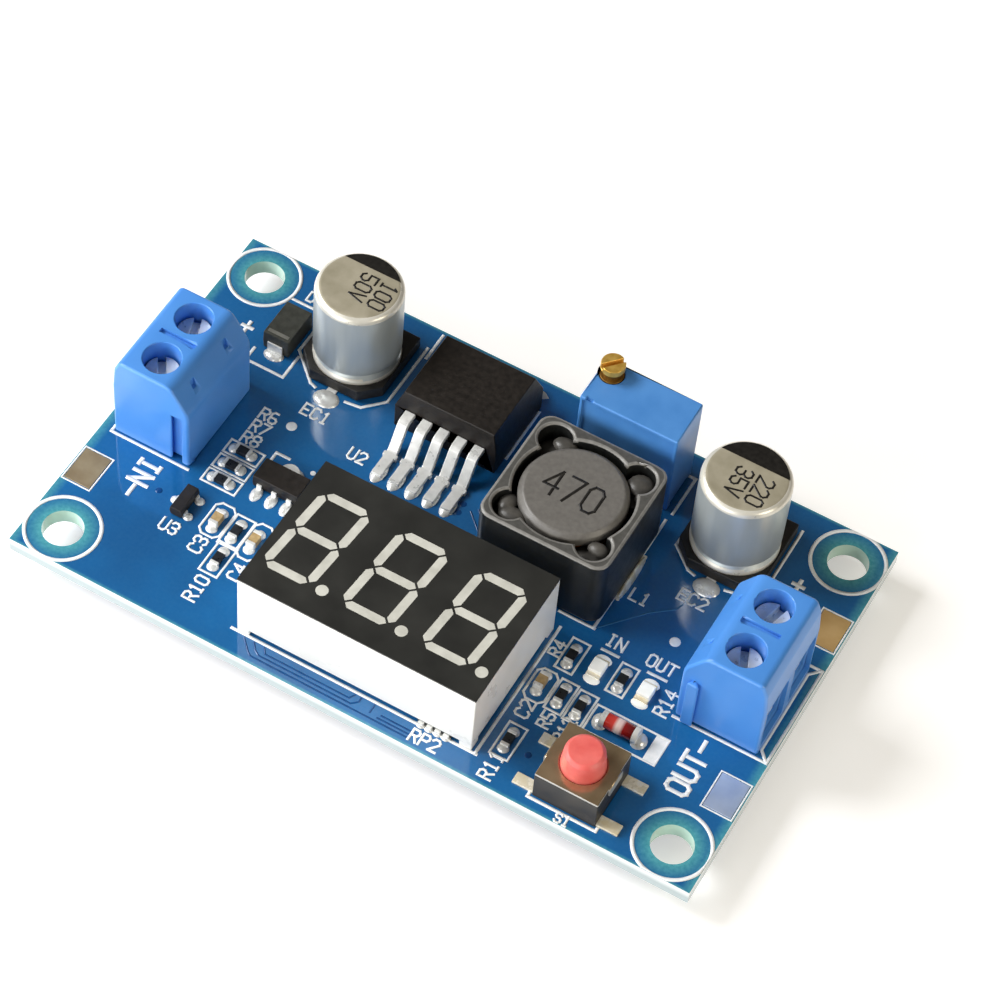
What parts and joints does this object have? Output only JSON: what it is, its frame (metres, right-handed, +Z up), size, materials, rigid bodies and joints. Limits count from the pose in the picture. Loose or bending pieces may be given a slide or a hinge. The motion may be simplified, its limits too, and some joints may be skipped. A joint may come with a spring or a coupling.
{
  "type": "buck converter module",
  "caption": "Step-down power board with a three-digit voltmeter, screw terminals at both ends, a multi-turn trimmer and a push button.",
  "frame": {"origin": "under the centre of the board, at the height of the pins' tips", "axes": "+X along the board from the input terminal to the output terminal, +Y towards the edge with the capacitors, +Z up out of the face with the parts"},
  "size_m": [0.066, 0.0394, 0.0155],
  "materials": {
    "blue_board": "satin solder mask",
    "tinned_pad": "tinned copper",
    "solder": "bright solder",
    "blue_plastic": "satin moulded plastic",
    "tinned_steel": "bright plating",
    "can_aluminium": "drawn can with a thin film",
    "black_moulding": "matt moulding compound",
    "ferrite": "ground ferrite",
    "copper_wire": "enamelled wire",
    "brass": "turned brass",
    "white_plastic": "satin moulded plastic",
    "dark_face": "printed face",
    "segment_white": "unlit diffuser",
    "grey_plastic": "moulded plastic",
    "pressed_steel": "pressed cover",
    "salmon_plastic": "satin moulded plastic",
    "resistor_black": "coated ceramic",
    "tan_ceramic": "fired ceramic",
    "led_white": "clear lens over a white base",
    "red_glass": "tinted glass"
  },
  "bodies": {
    "board": {"circuit_board": "blue_board", "edge_pads": "tinned_pad", "pin_solder": "solder", "input_terminal": "blue_plastic", "input_minus_cage": "tinned_steel", "input_plus_cage": "tinned_steel", "output_terminal": "blue_plastic", "output_minus_cage": "tinned_steel", "output_plus_cage": "tinned_steel", "input_capacitor_can": "can_aluminium", "input_capacitor_base": "black_moulding", "input_capacitor_leads": "tinned_steel", "output_capacitor_can": "can_aluminium", "output_capacitor_base": "black_moulding", "output_capacitor_leads": "tinned_steel", "regulator_body": "black_moulding", "regulator_tab": "tinned_steel", "regulator_leads": "tinned_steel", "inductor_shell": "ferrite", "inductor_drum": "ferrite", "inductor_winding": "copper_wire", "inductor_terminals": "tinned_steel", "trimmer_housing": "blue_plastic", "trimmer_pins": "tinned_steel", "display_housing": "white_plastic", "display_face": "dark_face", "display_digit_1": "segment_white", "display_digit_2": "segment_white", "display_digit_3": "segment_white", "display_pins": "tinned_steel", "button_base": "grey_plastic", "button_cover": "pressed_steel", "button_dome": "pressed_steel", "button_leads": "tinned_steel", "input_diode_body": "black_moulding", "input_diode_leads": "tinned_steel", "small_regulator_body": "black_moulding", "small_regulator_leads": "tinned_steel", "small_transistor_body": "black_moulding", "small_transistor_leads": "tinned_steel", "chip_resistor_bodies": "resistor_black", "chip_resistor_ends": "solder", "chip_capacitor_bodies": "tan_ceramic", "chip_capacitor_ends": "solder", "indicator_led_lenses": "led_white", "indicator_led_ends": "tinned_pad", "glass_diode_tube": "red_glass", "glass_diode_caps": "tinned_steel", "resistor_array_body": "resistor_black", "resistor_array_ends": "solder"},
    "button_plunger": {"button_plunger": "salmon_plastic"},
    "trimmer_screw": {"trimmer_screw": "brass"},
    "input_minus_clamp": {"input_minus_clamp": "tinned_steel"},
    "input_minus_screw": {"input_minus_screw": "tinned_steel"},
    "input_plus_clamp": {"input_plus_clamp": "tinned_steel"},
    "input_plus_screw": {"input_plus_screw": "tinned_steel"},
    "output_minus_clamp": {"output_minus_clamp": "tinned_steel"},
    "output_minus_screw": {"output_minus_screw": "tinned_steel"},
    "output_plus_clamp": {"output_plus_clamp": "tinned_steel"},
    "output_plus_screw": {"output_plus_screw": "tinned_steel"}
  },
  "joints": [
    {"name": "button_press", "type": "slide", "parent": "board", "child": "button_plunger", "axis": [0, 0, -1], "range_m": [0, 0.00025], "stiffness_N_per_m": 1200, "springref_m": -0.001},
    {"name": "trimmer_turn", "type": "hinge", "parent": "board", "child": "trimmer_screw", "pos_m": [0.00535, 0.0164, 0.0145], "axis": [0, 0, 1], "continuous": true},
    {"name": "input_minus_lift", "type": "slide", "parent": "board", "child": "input_minus_clamp", "axis": [0, 0, 1], "range_m": [-0.0011, 0.0013]},
    {"name": "input_minus_turn", "type": "hinge", "parent": "input_minus_clamp", "child": "input_minus_screw", "pos_m": [-0.0282, -0.00274, 0.0095], "axis": [0, 0, 1], "range_deg": [-882, 1042]},
    {"name": "input_plus_lift", "type": "slide", "parent": "board", "child": "input_plus_clamp", "axis": [0, 0, 1], "range_m": [-0.0011, 0.0013]},
    {"name": "input_plus_turn", "type": "hinge", "parent": "input_plus_clamp", "child": "input_plus_screw", "pos_m": [-0.0282, 0.00234, 0.0095], "axis": [0, 0, 1], "range_deg": [-882, 1042]},
    {"name": "output_minus_lift", "type": "slide", "parent": "board", "child": "output_minus_clamp", "axis": [0, 0, 1], "range_m": [-0.0011, 0.0013]},
    {"name": "output_minus_turn", "type": "hinge", "parent": "output_minus_clamp", "child": "output_minus_screw", "pos_m": [0.0282, -0.00274, 0.0095], "axis": [0, 0, 1], "range_deg": [-882, 1042]},
    {"name": "output_plus_lift", "type": "slide", "parent": "board", "child": "output_plus_clamp", "axis": [0, 0, 1], "range_m": [-0.0011, 0.0013]},
    {"name": "output_plus_turn", "type": "hinge", "parent": "output_plus_clamp", "child": "output_plus_screw", "pos_m": [0.0282, 0.00234, 0.0095], "axis": [0, 0, 1], "range_deg": [-882, 1042]}
  ],
  "couplings": [
    {"joint": "input_minus_turn", "follows": "input_minus_lift", "rad_per_m": 13963},
    {"joint": "input_plus_turn", "follows": "input_plus_lift", "rad_per_m": 13963},
    {"joint": "output_minus_turn", "follows": "output_minus_lift", "rad_per_m": 13963},
    {"joint": "output_plus_turn", "follows": "output_plus_lift", "rad_per_m": 13963}
  ]
}
